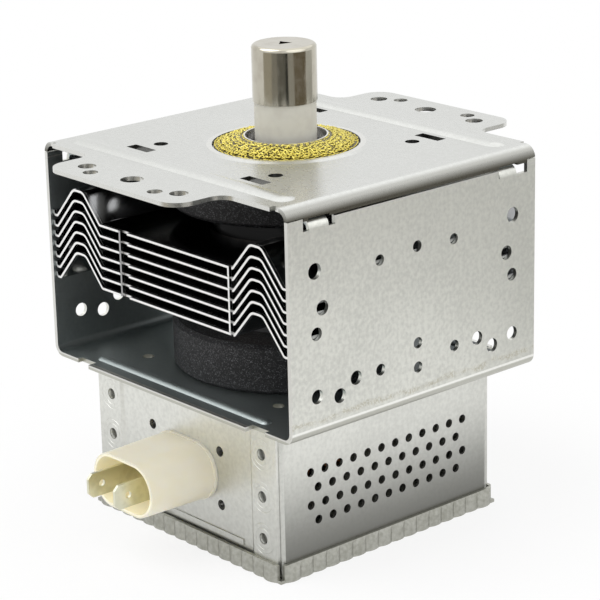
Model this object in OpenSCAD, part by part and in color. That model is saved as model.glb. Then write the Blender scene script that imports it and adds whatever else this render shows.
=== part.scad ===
// Magnetron of the kind used in microwave ovens. A vacuum tube with press-fitted cooling fins stands
// between two ring magnets in a folded steel yoke, over a shielded filter box with its supply plug.
// Millimetres, +Z up. The origin is on the antenna axis, at the underside of the filter box cover.

/* [Yoke bracket] */
// Outer width of the bracket
yoke_w = 95; // [90:0.5:110]
// Depth of the bracket between its two open faces
yoke_d = 82.5; // [80:0.5:95]
// Height from the bracket's underside to the top of the top plate
yoke_h = 58.2; // [56:0.1:68]
// Thickness of the yoke's steel sheet
yoke_t = 1.1; // [0.9:0.1:1.6]
// Outer radius of the bracket's lower bends
bend_r = 3; // [2.2:0.1:5]
// Width of each hooked locking tab
hook_w = 6; // [4:0.1:8]
// Distance of each locking tab's middle from the open face
hook_inset = 9.75; // [8:0.05:14]
// Outer radius of a locking tab's hook
hook_r = 2.6; // [2.2:0.1:3]
// Width of the slot on the outer side of a locking tab
hook_slot = 2; // [1:0.1:3]
// Depth of the slots beside a locking tab
hook_depth = 2; // [1.5:0.1:2.1]
// Height of the bracket's corners above its upper edge
horn_rise = 1.1; // [0.4:0.1:1.6]
// Width of the horns behind the rear locking tabs
horn_w = 2.9; // [2:0.1:4]
// Length of the bead pressed in the bracket's floor
floor_bead_l = 68; // [40:1:74]
// Distance of the floor bead from the open face
floor_bead_inset = 4.6; // [3:0.1:8]
// Height of the floor bead
floor_bead_rise = 0.8; // [0.4:0.1:1.2]
// Width of the floor bead
floor_bead_w = 3.2; // [2.4:0.1:5]

/* [Yoke top plate] */
// Overhang of the top plate past the bracket's open faces
lid_overhang = 1; // [0:0.1:2]
// Outer radius of the top plate's bent edges
lid_bend_r = 3.2; // [2:0.1:3.4]
// Height of the top plate's bent edges
lid_edge_h = 3.8; // [3.4:0.1:5]
// Gap between the top plate's bent edges and the bracket's sides
lid_gap = 0.4; // [0.2:0.05:0.5]
// Reach of the bracket's floor beyond its sides, between its notches
floor_overhang = 1.2; // [0.5:0.1:2]
// Width of each mounting ear
ear_w = 51.6; // [46:0.2:60]
// Reach of each mounting ear past the bracket's open face
ear_reach = 15.6; // [13:0.1:20]
// Corner radius of the mounting ears
ear_r = 5.5; // [3:0.1:8]
// Radius of the fillets at the roots of the ears
ear_fillet = 4; // [2:0.1:6]
// Spacing across an ear of its two main screw holes
ear_hole_span = 36.2; // [30:0.1:40]
// Distance of the main screw holes from the bracket's open face
ear_hole_reach = 8.05; // [6:0.05:10]
// Diameter of the main screw holes
ear_hole_d = 4.6; // [3:0.1:6]
// Spacing across an ear of its two pilot holes
ear_pilot_span = 25.4; // [20:0.1:28]
// Distance of the pilot holes from the bracket's open face
ear_pilot_reach = 11.05; // [9:0.05:12]
// Diameter of the pilot holes
ear_pilot_d = 3.8; // [2:0.1:5]
// Diameter of the hole in the middle of each ear
ear_middle_d = 5.7; // [4:0.1:8]
// Length of each lanced slot
slot_l = 8.4; // [6:0.1:12]
// Width of each lanced slot
slot_w = 3.1; // [2:0.1:4]
// Spacing of the lanced slots across the plate
slot_span = 44.6; // [40:0.1:50]
// Distance of the lanced slots from the bracket's open face
slot_inset = 12.1; // [10:0.1:14]
// Drop of the tab turned down from each slot
slot_tab_drop = 2.4; // [1:0.1:4]
// Diameter of the round hole beside each slot
slot_hole_d = 3.7; // [2:0.1:5]
// Distance from a slot's middle to the round hole beside it
slot_hole_gap = 6.3; // [5.5:0.1:8]
// Length of the beads pressed in the top plate
lid_bead_l = 84; // [50:1:84]
// Width of the beads
lid_bead_w = 6; // [3:0.1:7]
// Height of the beads
lid_bead_rise = 0.7; // [0.3:0.1:1.2]
// Distance of the beads from the bracket's open face
lid_bead_inset = 6; // [4.5:0.1:8]

/* [Magnets] */
// Outer diameter of the ring magnets
magnet_od = 61; // [56:0.5:66]
// Inner diameter of the ring magnets
magnet_id = 25; // [24:0.5:30]
// Thickness of each magnet
magnet_h = 12.9; // [10:0.1:14]
// Chamfer on the magnets' rims
magnet_chamfer = 1; // [0.3:0.1:2]

/* [Vacuum tube] */
// Outer diameter of the anode cylinder
anode_d = 40; // [36:0.5:44]
// Wall of the anode cylinder
anode_wall = 2.5; // [1.5:0.1:3]
// Number of anode vanes
vane_count = 10; // [8:2:12]
// Thickness of each vane
vane_t = 1.9; // [1.4:0.1:2.2]
// Height of the vanes as a share of the tube's height
vane_share = 0.311; // [0.26:0.001:0.36]
// Radius of the circle that the vanes' tips stand on
vane_tip_r = 4.6; // [4.2:0.1:5]
// Radial width of each strap ring
strap_w = 0.9; // [0.6:0.1:1.1]
// Height of each strap ring
strap_h = 0.9; // [0.6:0.1:1.2]
// Thickness of the pole pieces
pole_t = 1.6; // [1.2:0.1:2]
// Depth of the pole pieces' funnels as a share of the tube's height
pole_share = 0.205; // [0.13:0.001:0.23]
// Radius of the hole in each funnel
pole_hole_r = 4.8; // [4.2:0.1:6]
// Wall of the seal cans
can_t = 0.5; // [0.3:0.1:0.8]
// Outer radius of the seal cans' necks
can_r = 9.8; // [9:0.1:10.4]
// Mean radius of the filament coil
filament_r = 2; // [1.6:0.1:2.4]
// Diameter of the filament wire
filament_d = 0.6; // [0.4:0.1:0.8]
// Turns of the filament
filament_turns = 7; // [5:1:9]
// Radius of the end hats
hat_r = 3.4; // [3.3:0.1:3.8]
// Thickness of the end hats
hat_t = 1.4; // [1:0.1:2]
// Diameter of the cathode leads
lead_d = 1.2; // [0.8:0.1:1.3]

/* [Antenna] */
// Radius of the antenna cap
antenna_r = 8.25; // [7.5:0.05:8.7]
// Step from the cap in to the ceramic
ceramic_step = 0.35; // [0.3:0.05:0.6]
// Height of the ceramic's top above the top plate
ceramic_rise = 11.3; // [8:0.1:16]
// Wall of the antenna ceramic
ceramic_wall = 2; // [1.5:0.1:2.5]
// Height of the antenna cap
cap_h = 14.5; // [11:0.1:20]
// Wall of the antenna cap
cap_wall = 0.5; // [0.3:0.1:0.8]
// Radius of the cap's upper edge
cap_edge_r = 1; // [0.9:0.1:3]
// Diameter of the circle round the vent in the cap's top
vent_d = 4.2; // [2:0.1:5]
// Turn of the vent's point from the right
vent_angle = 45; // [0:1:90]
// Radius of the copper exhaust tube
exhaust_r = 3; // [2:0.1:3.5]
// Radius of the antenna lead
aerial_r = 1; // [0.6:0.1:1.3]

/* [Mesh gasket] */
// Radius of the gasket hole in the top plate
gasket_hole_r = 18.9; // [17:0.1:21]
// Height of the gasket's inner rim above the top plate
gasket_rise = 2; // [1:0.1:4]
// Outer radius of the seat's collar
collar_r = 10.8; // [10.7:0.1:12]
// Sheet thickness of the gasket seat
seat_t = 0.4; // [0.3:0.1:0.6]

/* [Fins] */
// Height of the fin stack as a share of the tube's height
fin_share = 0.649; // [0.55:0.001:0.7]
// Thickness of each fin
fin_t = 0.6; // [0.4:0.05:0.8]
// Inset of the fins' edges from the yoke's open faces
fin_inset = 0.75; // [0.3:0.05:3]
// Rise of the fin stack's middle above the tube's middle as a share of the tube's height
lift_share = 0.066; // [0:0.001:0.08]
// Distance of the flat's end inside the magnets' rim
fin_flat_inset = 4.2; // [3:0.1:6]
// Run of the flank that climbs from the flat
fin_flank = 6.6; // [5:0.1:7]
// Height of the wave above the flat as a share of the tube's height
wave_share = 0.2417; // [0.17:0.0001:0.26]
// Width of the wave's top
fin_crest = 4; // [3:0.1:4.6]
// Drop of the wave's foot below the flat
fin_drop = 1; // [0.4:0.1:1.6]
// Distance of the wave's foot from the yoke's inner wall
fin_foot = 2; // [1.4:0.1:2.4]
// Height of the lip that turns up along the wall
fin_lip = 1.2; // [0.6:0.1:2]
// Radius of the fins' bends at the wave's crest
fin_bend = 2.4; // [1.2:0.1:2.8]
// Radius of the fins' other bends
fin_foot_bend = 0.7; // [0.5:0.05:0.8]
// Distance from the tube's axis to the inner spacer tab
spacer_x1 = 18; // [15:0.1:20]
// Distance of the outer spacer tab from the flat's end
spacer_inset = 1.7; // [1.2:0.1:2.4]
// Length of each spacer tab along the fin's depth
spacer_l = 0.8; // [0.6:0.1:2]

/* [Filter box] */
// Outer width of the filter box
box_w = 73; // [66:0.5:80]
// Height from the cover's underside to the yoke's underside
box_h = 40; // [38.5:0.1:48]
// Sheet thickness of the filter box
box_t = 0.8; // [0.5:0.1:1]
// Outer radius of the box's bends
box_bend = 1.8; // [1.2:0.1:2.5]
// Width of the corner flanges behind the front and back panels
flange_w = 10; // [8:0.1:12]
// Step of the panels over the corner flanges
joggle = 0.5; // [0.2:0.1:0.7]
// Length of the strip pressed out low on the front panel
strip_l = 28; // [20:0.5:32]
// Distance of the strip's middle from the plug's
strip_x = 8; // [0:0.5:8]
// Height of the strip's middle
strip_z = 6.2; // [5.8:0.1:7]
// Width of the strip
strip_w = 1.5; // [1:0.1:2]
// Rise of the strip
strip_rise = 0.3; // [0.2:0.1:0.5]
// Distance of the clinch joints from the box's sides
clinch_inset = 6.4; // [5.5:0.1:7]
// Height of the lowest clinch joint
clinch_z = 9.8; // [8.6:0.1:10.6]
// Spacing of the clinch joints up a corner
clinch_pitch = 11.1; // [9:0.1:12]
// Number of clinch joints up a corner
clinch_count = 3; // [1:1:3]
// Diameter of a clinch joint's dimple
clinch_d = 2.9; // [2.4:0.1:3.4]
// Diameter of the perforations in the side walls
perf_d = 2.3; // [1.5:0.1:2.6]
// Spacing of the perforations along a row
perf_pitch = 4.77; // [4.2:0.01:5]
// Spacing of the rows of perforations
perf_row = 4.34; // [3.8:0.01:4.8]
// Holes in a full row of perforations
perf_count = 12; // [8:1:12]
// Number of rows of perforations
perf_rows = 4; // [2:1:4]
// Height of the lowest row of perforations
perf_z = 13.2; // [10:0.1:15]

/* [Filter box cover] */
// Sheet thickness of the cover
cover_t = 0.8; // [0.5:0.1:1]
// Height of the crimped lip
lip_h = 4.6; // [3.4:0.1:5]
// Width of one crimp lobe
lobe_pitch = 4.45; // [3.4:0.05:6]
// Bulge of a crimp lobe
lobe_bulge = 0.6; // [0.2:0.05:0.8]
// Height at which the lobes start to fade
lobe_h = 2.7; // [1.5:0.1:2.9]

/* [Plug and filter] */
// Height of the plug's middle
plug_z = 20.8; // [19.5:0.1:24]
// Reach of the plug's shroud past the box's front
plug_reach = 20.5; // [15:0.1:26]
// Half height of the shroud where it leaves the box
plug_root_r = 7.5; // [7.4:0.1:9]
// Half height of the shroud at its mouth
plug_mouth_r = 7.1; // [6.6:0.1:7.3]
// Distance between the centres of the shroud's round ends
plug_span = 9.5; // [8:0.1:14]
// Wall of the shroud
plug_wall = 1.1; // [0.8:0.1:1.4]
// Thickness of the collar at the shroud's root
collar_t = 1; // [0.6:0.1:1.4]
// Step of that collar
collar_step = 0.2; // [0.2:0.1:0.8]
// Spacing of the two tabs
tab_span = 10.8; // [9:0.1:12]
// Width of a tab
tab_w = 6.35; // [4.8:0.05:6.4]
// Thickness of a tab
tab_t = 0.8; // [0.5:0.1:1]
// Reach of the tabs past the shroud's mouth
tab_reach = 6.7; // [0:0.1:8]
// Reach of the tabs behind the capacitor block
tab_tail = 4; // [3:0.1:5]
// Distance of the locking hole from a tab's tip
tab_hole_inset = 4.1; // [3:0.1:6]
// Diameter of the locking hole in each tab
tab_hole_d = 1.8; // [1.2:0.1:2.4]
// Thickness of the capacitor's earth plate
plate_t = 1; // [0.6:0.1:1.4]
// Spacing across the plug of the earth plate's holes
plate_hole_x = 27; // [26.6:0.1:32]
// Vertical spacing of the earth plate's holes
plate_hole_z = 14.4; // [10:0.1:17]
// Diameter of the earth plate's holes
plate_hole_d = 2.7; // [2:0.1:3.2]
// Length of the capacitor block behind the box's front
block_l = 9; // [7:0.1:11]
// Distance of the choke coils from the tube's axis
choke_x = 15; // [14.5:0.1:18]
// Mean radius of the choke coils
choke_r = 3.6; // [3:0.1:4.2]
// Diameter of the choke wire
wire_d = 1.4; // [1:0.1:1.6]
// Turns of each choke coil
choke_turns = 11; // [8:1:12]
// Height of the stem ceramic
stem_h = 8; // [5:0.1:9]
// Radius of the stem ceramic
stem_r = 7.6; // [7:0.1:7.8]
// Depth of the stem can's end below the box's top
stem_drop = 4.8; // [3:0.1:6]
// Distance of the stem's two leads from the axis
stem_pin_x = 2.6; // [2.3:0.1:2.7]

/* [Hidden] */
$fn = 48;

// Clearance of a push fit, of pieces that pass each other, and the seam between folded edges
fit = 0.05;
clear = 0.3;
seam = 0.2;
// Overshoot of cutting shapes
over = 1;

// Heights through the stack
z_floor = box_h + yoke_t;
z_top = box_h + yoke_h;
z_ceiling = z_top - yoke_t;
z_tube0 = z_floor + magnet_h;
z_tube1 = z_ceiling - magnet_h;
z_mid = (z_tube0 + z_tube1) / 2;
tube_h = z_tube1 - z_tube0;
vane_h = vane_share * tube_h;
pole_depth = pole_share * tube_h;
fin_count = 7;
fin_pitch = fin_share * tube_h / fin_count;
fin_lift = lift_share * tube_h;
fin_rise = wave_share * tube_h;
z_anode0 = z_tube0 + can_t + pole_t;
z_anode1 = z_tube1 - can_t - pole_t;
z_lid_edge = z_top - lid_edge_h;
z_side = z_lid_edge - lid_gap;
z_horn = z_side + horn_rise;
z_ceramic0 = z_top - can_t - seam;
z_ceramic1 = z_top + ceramic_rise;
z_cap = z_ceramic1 + cap_h;
z_stem1 = box_h - stem_drop;
z_stem0 = z_stem1 - stem_h;

// Half sizes in plan
side_x = yoke_w / 2;
wall_x = side_x - yoke_t;
face_y = yoke_d / 2;
anode_r = anode_d / 2;
anode_in_r = anode_r - anode_wall;
ceramic_r = antenna_r - ceramic_step;
box_s = box_w / 2;

// Holes in the bracket's sides: distance from the open face, height above the underside, diameter
side_holes = [[8.05, 41.8, 4], [10.25, 32.4, 3.7], [8.25, 26.3, 3.3], [8.15, 10.65, 3.6],
    [15.35, 9.1, 3.7], [20.65, 12.3, 3.6], [28.7, 12.3, 3], [28.8, 40, 2.8]];
// Holes on the middle line of the bracket's sides: height above the underside
middle_holes = [40.8, 16.1, 9.8];
middle_hole_d = 2.9;
// Pilot holes and edge notches of the bracket's floor
floor_hole = [26, 27];
floor_hole_d = 3;
floor_notch = [34.5, 6, 1.3];
// Relief cuts at the top plate's corners
relief_x = 43;
relief_w = 0.9;
// Raised ring round the gasket hole
ring_rise = 0.3;
ring_w = 2.6;
// Hole for the stem can in the yoke's floor and the box's top
stem_hole_r = can_r + 1.3;
// Radii of a clinch joint's floor and ripples, as shares of its dimple's
clinch_floor = 0.75;
clinch_ripples = [1.9, 2.75];
// Slope of the pinched end of the exhaust tube
pinch_angle = 30;
// Rise of the antenna lead's slant for each millimetre inward
aerial_slope = 0.7;
// Inner radii of the strap rings at each end of the vanes, and the play round them
strap_r = [6.4, 7.7];
strap_gap = 0.5;
// Sides and steps in a turn of the wound wires
wire_sides = 6;
turn_steps = 12;

// Section shapes shared by several pieces

// Rectangle about the origin with round corners
module round_square(w, h, r) {
    square([w - 2 * r, h], center = true);
    square([w, h - 2 * r], center = true);
    for (x = [-1, 1], y = [-1, 1])
        translate([x * (w / 2 - r), y * (h / 2 - r)]) circle(r);
}

// Folded channel that stands on the X axis, open at the top
module channel_section(w, h, t, r) {
    difference() {
        translate([0, h]) round_square(w, 2 * h, r);
        translate([0, h + t]) round_square(w - 2 * t, 2 * h, r - t);
        translate([-w, h]) square([2 * w, 2 * h]);
    }
}

// Slot outline along X, round at both ends
module stadium(span, r) {
    square([span, 2 * r], center = true);
    for (x = [-1, 1]) translate([x * span / 2, 0]) circle(r);
}

// Extrude an XZ section along Y, about the middle
module along_y(l) {
    rotate([90, 0, 0]) linear_extrude(l, center = true) children();
}

// Extrude a YZ section along X, about the middle
module along_x(l) {
    rotate([90, 0, 90]) linear_extrude(l, center = true) children();
}

// Bore along X through both sides of a box
module cross_bore(d, l) {
    rotate([0, 90, 0]) cylinder(d = d, h = l, center = true);
}

// Radius of the cylinder whose cap has the given width and height
function cap_radius(w, h) = (w * w / 4 + h * h) / (2 * h);

// Long bead along X that rises from the plane z = 0, with round ends
module bead(l, w, h) {
    r = cap_radius(w, h);
    intersection() {
        translate([0, 0, h - r]) {
            cross_bore(2 * r, l - w);
            for (x = [-1, 1]) translate([x * (l - w) / 2, 0, 0]) sphere(r);
        }
        translate([-l, -w, -fit]) cube([2 * l, 2 * w, 2 * h]);
    }
}

// Copies at the front and, turned half round, at the back
module front_and_back() {
    for (a = [0, 180]) rotate(a) children();
}

// Ring between two radii
module ring(r0, r1, h) {
    difference() {
        cylinder(r = r1, h = h);
        translate([0, 0, -over]) cylinder(r = r0, h = h + 2 * over);
    }
}

// Round rod through a list of points, with ball joints at the corners
module rod(points, d) {
    for (i = [0 : len(points) - 2]) {
        leg = points[i + 1] - points[i];
        run = norm([leg.x, leg.y]);
        translate(points[i]) rotate([0, atan2(run, leg.z), atan2(leg.y, leg.x)])
            cylinder(d = d, h = norm(leg));
        if (i > 0) translate(points[i]) sphere(d = d + 2 * fit);
    }
}

// Paths of folded and wound pieces

function unit(v) = v / norm(v);
function side_of(v) = [-v.y, v.x];

// Points of an open path with its corners rounded, each by its own radius
function rounded_path(p, radii, steps) = [
    for (i = [0 : len(p) - 1])
        if (i == 0 || i == len(p) - 1) p[i]
        else
            let (a = unit(p[i - 1] - p[i]), b = unit(p[i + 1] - p[i]),
                 half = acos(a * b) / 2, r = radii[i], reach = r / tan(half),
                 middle = p[i] + unit(a + b) * r / sin(half),
                 from = p[i] + a * reach - middle, to = p[i] + b * reach - middle)
            for (s = [0 : steps])
                middle + r * unit(from * sin((1 - s / steps) * (180 - 2 * half))
                    + to * sin(s / steps * (180 - 2 * half)))
];

// Offset of a path to one side by a mitre at each point
function offset_path(p, d) = [
    for (i = [0 : len(p) - 1])
        let (n0 = side_of(unit(p[max(i, 1)] - p[max(i, 1) - 1])),
             n1 = side_of(unit(p[min(i + 1, len(p) - 1)] - p[min(i, len(p) - 2)])))
        p[i] + d * (n0 + n1) / (1 + n0 * n1)
];

function reversed(p) = [for (i = [len(p) - 1 : -1 : 0]) p[i]];

// Sheet of the given thickness along a path
module sheet_section(path, t) {
    polygon(concat(offset_path(path, t / 2), reversed(offset_path(path, -t / 2))));
}

// Round wire swept along points, each ring square to the path and level with a fixed direction
module wire(points, d, across) {
    n = len(points);
    sides = wire_sides;
    rings = [for (i = [0 : n - 1])
        let (t = unit(points[min(i + 1, n - 1)] - points[max(i - 1, 0)]),
             u = unit(cross(across, t)), v = cross(t, u))
        for (k = [0 : sides - 1])
            points[i] + d / 2 * (u * cos(360 * k / sides) + v * sin(360 * k / sides))];
    walls = [for (i = [0 : n - 2], k = [0 : sides - 1])
        let (next = (k + 1) % sides)
        [i * sides + k, (i + 1) * sides + k, (i + 1) * sides + next, i * sides + next]];
    first = [for (k = [0 : sides - 1]) k];
    last = [for (k = [sides - 1 : -1 : 0]) (n - 1) * sides + k];
    polyhedron(rings, concat([first, last], walls), convexity = 6);
}

// Yoke

hook_y = face_y - hook_inset;
z_notch = z_side - hook_depth;
// Start and reach of the notch round a locking tab, at the front or the back
function notch_inner(back) = hook_y - hook_w / 2 - (back ? clear : hook_slot);
function notch_outer(back) = back ? face_y - horn_w : hook_y + hook_w / 2 + hook_slot;

// Section of a locking tab that curls inward over the bracket's side
module hook_section() {
    translate([side_x - yoke_t, z_notch - over]) square([yoke_t, over]);
    translate([side_x - hook_r, z_notch]) {
        intersection() {
            difference() {
                circle(hook_r);
                circle(hook_r - yoke_t);
            }
            square(hook_r);
        }
        translate([-hook_r / 2, hook_r - yoke_t]) square([hook_r / 2, yoke_t]);
    }
}

module side_edge_cuts() {
    cut_w = yoke_w + 2 * over;
    cut_h = z_top - z_side;
    along_x(cut_w) translate([-notch_outer(false), z_side])
        square([notch_outer(false) + notch_outer(true), cut_h]);
    for (back = [false, true]) mirror([0, back ? 0 : 1, 0]) along_x(cut_w)
        translate([notch_inner(back), z_notch]) square([notch_outer(back) - notch_inner(back), cut_h]);
}

module side_bores() {
    for (h = side_holes, s = [-1, 1])
        translate([0, s * (face_y - h[0]), box_h + h[1]]) cross_bore(h[2], yoke_w + 2 * over);
    for (z = middle_holes) translate([0, 0, box_h + z]) cross_bore(middle_hole_d, yoke_w + 2 * over);
}

module floor_cuts() {
    cylinder(r = stem_hole_r, h = 3 * z_floor, center = true);
    for (x = [-1, 1], y = [-1, 1]) {
        translate([x * floor_hole.x, y * floor_hole.y, box_h - over])
            cylinder(d = floor_hole_d, h = yoke_t + 2 * over);
        translate([x * floor_notch.x, y * (face_y + floor_overhang), box_h])
            cube([floor_notch[1], 2 * (floor_overhang + floor_notch[2]), 2 * yoke_t + over], center = true);
    }
    front_and_back() translate([0, floor_bead_inset - face_y, box_h])
        bead(floor_bead_l, floor_bead_w, floor_bead_rise);
}

module yoke_bracket() color("gainsboro") {
    difference() {
        union() {
            translate([0, 0, box_h]) along_y(yoke_d)
                channel_section(yoke_w, z_horn - box_h, yoke_t, bend_r);
            front_and_back() {
                translate([0, floor_bead_inset - face_y, z_floor])
                    bead(floor_bead_l, floor_bead_w, floor_bead_rise);
                translate([-floor_notch.x, -face_y - floor_overhang, box_h])
                    cube([2 * floor_notch.x, floor_overhang + over, yoke_t]);
            }
        }
        side_edge_cuts();
        side_bores();
        floor_cuts();
    }
    for (x = [0, 1], y = [-1, 1])
        mirror([x, 0, 0]) translate([0, y * hook_y, 0]) along_y(hook_w) hook_section();
}

// Outline of one mounting ear, with its fillets, at the front
module ear_outline() {
    root_y = face_y + lid_overhang;
    reach = face_y + ear_reach;
    translate([0, -reach / 2]) round_square(ear_w, reach, ear_r);
    for (x = [-1, 1]) difference() {
        translate([x * (ear_w / 2 + ear_fillet / 2), -root_y - ear_fillet / 2 + over / 2])
            square([ear_fillet, ear_fillet + over], center = true);
        translate([x * (ear_w / 2 + ear_fillet), -root_y - ear_fillet]) circle(ear_fillet);
    }
}

module ear_holes() {
    for (x = [-1, 1]) {
        translate([x * ear_hole_span / 2, -face_y - ear_hole_reach]) circle(d = ear_hole_d);
        translate([x * ear_pilot_span / 2, -face_y - ear_pilot_reach]) circle(d = ear_pilot_d);
        translate([x * slot_span / 2, slot_inset - face_y]) {
            square([slot_l, slot_w], center = true);
            translate([0, slot_hole_gap]) circle(d = slot_hole_d);
        }
    }
    translate([0, -face_y - ear_hole_reach]) circle(d = ear_middle_d);
}

// What the bracket's horns, hooks and corners take out of the bent edges
module lid_edge_cuts() {
    cut_w = yoke_w + 2 * over;
    for (back = [false, true]) mirror([0, back ? 0 : 1, 0]) {
        along_x(cut_w) translate([notch_outer(back) - seam, z_lid_edge - over])
            square([face_y, z_horn + seam - z_lid_edge + over]);
        along_x(cut_w) translate([hook_y - hook_w / 2 - clear, z_lid_edge - over])
            square([hook_w + 2 * clear, z_notch + hook_r + clear - z_lid_edge + over]);
    }
    for (x = [-1, 1], y = [-1, 1]) {
        translate([x * (relief_x + yoke_w / 2), y * (face_y + lid_overhang), z_top])
            cube([yoke_w, 2 * lid_overhang, 4 * lid_edge_h], center = true);
        translate([x * relief_x, y * (face_y + lid_overhang), z_top])
            cube([relief_w, 2 * lid_overhang + relief_w, 4 * lid_edge_h], center = true);
    }
}

module lid_beads(z) {
    front_and_back() translate([0, lid_bead_inset - face_y, z]) bead(lid_bead_l, lid_bead_w, lid_bead_rise);
}

module yoke_top_plate() color("whitesmoke") {
    difference() {
        union() {
            translate([0, 0, z_top]) mirror([0, 0, 1]) along_y(yoke_d + 2 * lid_overhang)
                channel_section(yoke_w, lid_edge_h, yoke_t, lid_bend_r);
            translate([0, 0, z_ceiling]) linear_extrude(yoke_t) front_and_back() ear_outline();
            lid_beads(z_top);
            translate([0, 0, z_top]) cylinder(r1 = gasket_hole_r + ring_w, r2 = gasket_hole_r + ring_w / 2,
                h = ring_rise);
        }
        lid_beads(z_ceiling);
        lid_edge_cuts();
        translate([0, 0, z_ceiling - over]) {
            cylinder(r = gasket_hole_r, h = yoke_t + 2 * over);
            linear_extrude(yoke_t + 2 * over) front_and_back() ear_holes();
        }
    }
    for (x = [-1, 1]) front_and_back()
        translate([x * slot_span / 2, slot_inset - face_y + (slot_w + yoke_t) / 2, z_ceiling])
            translate([-slot_l / 2, -yoke_t / 2, -slot_tab_drop])
                cube([slot_l, yoke_t, slot_tab_drop + fit]);
}

// Magnets and gasket

module ring_magnet() {
    r0 = magnet_id / 2;
    r1 = magnet_od / 2;
    c = magnet_chamfer;
    rotate_extrude() polygon([[r0 + c, 0], [r1 - c, 0], [r1, c], [r1, magnet_h - c], [r1 - c, magnet_h],
        [r0 + c, magnet_h], [r0, magnet_h - c], [r0, c]]);
}

module upper_magnet() color("dimgray") translate([0, 0, z_tube1]) ring_magnet();

module lower_magnet() color("dimgray") translate([0, 0, z_floor]) ring_magnet();

// Collar round the antenna with the flange that the gasket lies on
module gasket_seat() color("lightgray") translate([0, 0, z_ceiling]) {
    ring(collar_r - seat_t, gasket_hole_r - clear, seat_t);
    ring(collar_r - seat_t, collar_r, yoke_t + gasket_rise + seat_t);
}

module mesh_gasket() color("goldenrod") {
    r0 = collar_r + fit;
    r1 = gasket_hole_r - clear - seam;
    z0 = z_ceiling + seat_t;
    steps = 10;
    crown = [for (i = [0 : steps])
        let (s = i / steps) [r1 + (r0 - r1) * s, z_top + gasket_rise * sin(90 * s)]];
    rotate_extrude() polygon(concat([[r0, z0], [r1, z0]], crown));
}

// Fins

fin_flat = magnet_od / 2 - fin_flat_inset;
fin_edge = face_y - fin_inset;
spacer_x2 = fin_flat - spacer_inset;
fin_half = [
    [fin_flat, 0],
    [fin_flat + fin_flank, fin_rise],
    [fin_flat + fin_flank + fin_crest, fin_rise],
    [wall_x - fin_foot, -fin_drop],
    [wall_x - fin_t / 2 - fit, -fin_drop],
    [wall_x - fin_t / 2 - fit, fin_lip - fin_drop]
];
fin_ends = [for (q = fin_half) [-q.x, q.y]];
// The bends at the foot are tight, so that the lip stands flat on the wall
fin_radii = [fin_foot_bend, fin_bend, fin_bend, fin_foot_bend, fin_foot_bend, 0];
fin_path = rounded_path(concat(reversed(fin_ends), fin_half), concat(reversed(fin_radii), fin_radii), 4);

function fin_z(i) = z_mid + fin_lift + (i - (fin_count + 1) / 2) * fin_pitch;

// Spacer tab at the front edge, cut from the flat and turned down
module spacer_tab() {
    translate([-fin_t / 2, -fin_edge, -fin_pitch + fin_t / 2 + fit])
        cube([fin_t, spacer_l, fin_pitch - fin_t / 2 - fit]);
}

// Notch that the tab leaves on its right
module spacer_cut(x, w) {
    translate([x + (w + fin_t) / 2, -fin_edge, 0]) cube([w, 2 * spacer_l, 4 * fin_t], center = true);
}

module cooling_fin(i) color("silver") translate([0, 0, fin_z(i)]) {
    difference() {
        along_y(2 * fin_edge) sheet_section(fin_path, fin_t);
        translate([0, 0, -fin_t]) cylinder(r = anode_r + fit, h = 2 * fin_t);
        front_and_back() {
            spacer_cut(-spacer_x1, fin_pitch);
            spacer_cut(spacer_x2, spacer_inset - fin_foot_bend);
        }
    }
    translate([0, 0, -fin_t / 2]) ring(anode_r + fit, anode_r + fit + fin_t, fin_pitch - clear);
    if (i > 1) front_and_back() {
        translate([-spacer_x1, 0, 0]) spacer_tab();
        translate([spacer_x2, 0, 0]) spacer_tab();
    }
}

// Resonator and cathode

module anode_cylinder() color("peru") translate([0, 0, z_anode0])
    ring(anode_in_r, anode_r, z_anode1 - z_anode0);

// Groove in a vane for one strap ring, deeper where the ring must pass without touching
module strap_groove(r, touches) {
    depth = touches ? strap_h : strap_h + strap_gap;
    for (m = [0, 1]) mirror([0, 0, m]) translate([0, 0, vane_h / 2 - depth])
        ring(r - strap_gap / 2, r + strap_w + strap_gap / 2, depth + over);
}

module vane(i) {
    difference() {
        intersection() {
            translate([vane_tip_r, -vane_t / 2, -vane_h / 2]) cube([anode_r, vane_t, vane_h]);
            cylinder(r = anode_in_r, h = 2 * vane_h, center = true);
        }
        strap_groove(strap_r[0], i % 2 == 0);
        strap_groove(strap_r[1], i % 2 == 1);
    }
}

module anode_vanes() color("peru") translate([0, 0, z_mid])
    for (i = [0 : vane_count - 1]) rotate(360 * i / vane_count) vane(i);

module strap_rings() color("sandybrown") translate([0, 0, z_mid])
    for (m = [0, 1], r = strap_r)
        mirror([0, 0, m]) translate([0, 0, vane_h / 2 - strap_h]) ring(r, r + strap_w, strap_h);

// Funnel with its rim on the anode's end, which is at z = 0
module pole_piece() {
    rim = anode_in_r - pole_t;
    neck = pole_hole_r + pole_t;
    rotate_extrude() polygon([[rim, 0], [anode_r, 0], [anode_r, pole_t], [rim - pole_t, pole_t],
        [neck - pole_t / 2, pole_t - pole_depth], [pole_hole_r, pole_t - pole_depth],
        [pole_hole_r, -pole_depth], [neck, -pole_depth]]);
}

aerial_x = strap_r[1] + strap_w + aerial_r + 2 * clear;

module upper_pole_piece() color("slategray") translate([0, 0, z_anode1]) difference() {
    pole_piece();
    translate([aerial_x, 0, -pole_depth]) cylinder(r = aerial_r + 2 * clear, h = 2 * pole_depth);
}

module lower_pole_piece() color("slategray") translate([0, 0, z_anode0]) mirror([0, 0, 1]) pole_piece();

// Can with a flange at z = 0 and an inward ledge at its far end
module seal_can(rise, mouth_r) {
    neck = can_r - can_t;
    rotate_extrude() polygon([[neck, 0], [anode_r, 0], [anode_r, can_t], [can_r, can_t], [can_r, rise],
        [mouth_r, rise], [mouth_r, rise - can_t], [neck, rise - can_t]]);
}

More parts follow.
